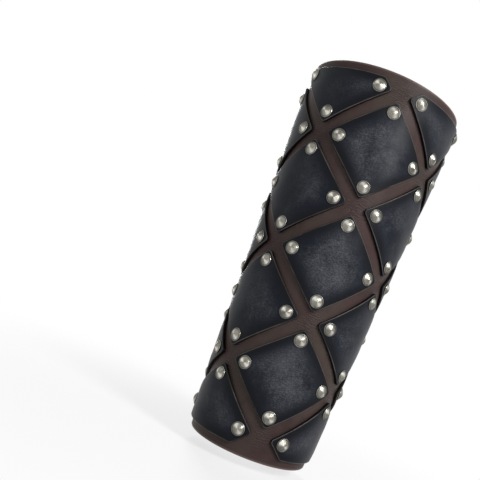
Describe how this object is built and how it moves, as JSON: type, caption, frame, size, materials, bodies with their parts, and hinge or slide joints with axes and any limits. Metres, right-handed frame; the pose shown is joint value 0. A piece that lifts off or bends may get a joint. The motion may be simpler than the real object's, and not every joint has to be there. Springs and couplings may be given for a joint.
{
  "type": "leather bracer",
  "caption": "Tapered leather forearm guard with riveted diamond plates, open along one side and drawn together there by a flat lace tied in a bow.",
  "frame": {"origin": "middle of the sleeve's wrist opening, level with the leather's wrist end at the front", "axes": "+Z along the forearm from the wrist to the elbow, -Y to the front with the plates, +Y to the lacing, X across"},
  "size_m": [0.1104, 0.0992, 0.252],
  "materials": {
    "base_leather": "satin, waxed, with burnished edges",
    "plate_leather": "satin, waxed, mottled navy black",
    "rivet_metal": "nickel, lightly tarnished",
    "eyelet_metal": "antique nickel",
    "lace_fabric": "braided, waxed"
  },
  "bodies": {
    "shell": {"base_leather_front": "base_leather", "plate_centre_1": "plate_leather", "plate_centre_2": "plate_leather", "plate_centre_3": "plate_leather", "plate_left_inner_1": "plate_leather", "plate_left_inner_2": "plate_leather", "plate_left_inner_3": "plate_leather", "plate_left_inner_4": "plate_leather", "plate_right_inner_1": "plate_leather", "plate_right_inner_2": "plate_leather", "plate_right_inner_3": "plate_leather", "plate_right_inner_4": "plate_leather", "plate_left_outer_1": "plate_leather", "plate_left_outer_2": "plate_leather", "plate_left_outer_3": "plate_leather", "plate_right_outer_1": "plate_leather", "plate_right_outer_2": "plate_leather", "plate_right_outer_3": "plate_leather", "rivets_centre": "rivet_metal", "rivets_left_inner": "rivet_metal", "rivets_right_inner": "rivet_metal", "rivets_left_outer": "rivet_metal", "rivets_right_outer": "rivet_metal", "lace": "lace_fabric"},
    "flap_left": {"flap_left": "base_leather", "eyelets_left": "eyelet_metal", "eyelet_washers_left": "eyelet_metal"},
    "flap_right": {"flap_right": "base_leather", "eyelets_right": "eyelet_metal", "eyelet_washers_right": "eyelet_metal"}
  },
  "joints": [
    {"name": "flap_left_bend", "type": "hinge", "parent": "shell", "child": "flap_left", "pos_m": [-0.03131, 0.0197, 0.00426], "axis": [-0.0753, -0.0542, 0.9957], "range_deg": [-10, 20], "stiffness_Nm_per_rad": 0.4, "deforming": ["lace"]},
    {"name": "flap_right_bend", "type": "hinge", "parent": "shell", "child": "flap_right", "pos_m": [0.03131, 0.0197, 0.00426], "axis": [-0.0753, 0.0542, -0.9957], "range_deg": [-10, 20], "stiffness_Nm_per_rad": 0.4, "deforming": ["lace"]}
  ],
  "couplings": [
    {"joint": "flap_right_bend", "follows": "flap_left_bend", "ratio": 1}
  ]
}
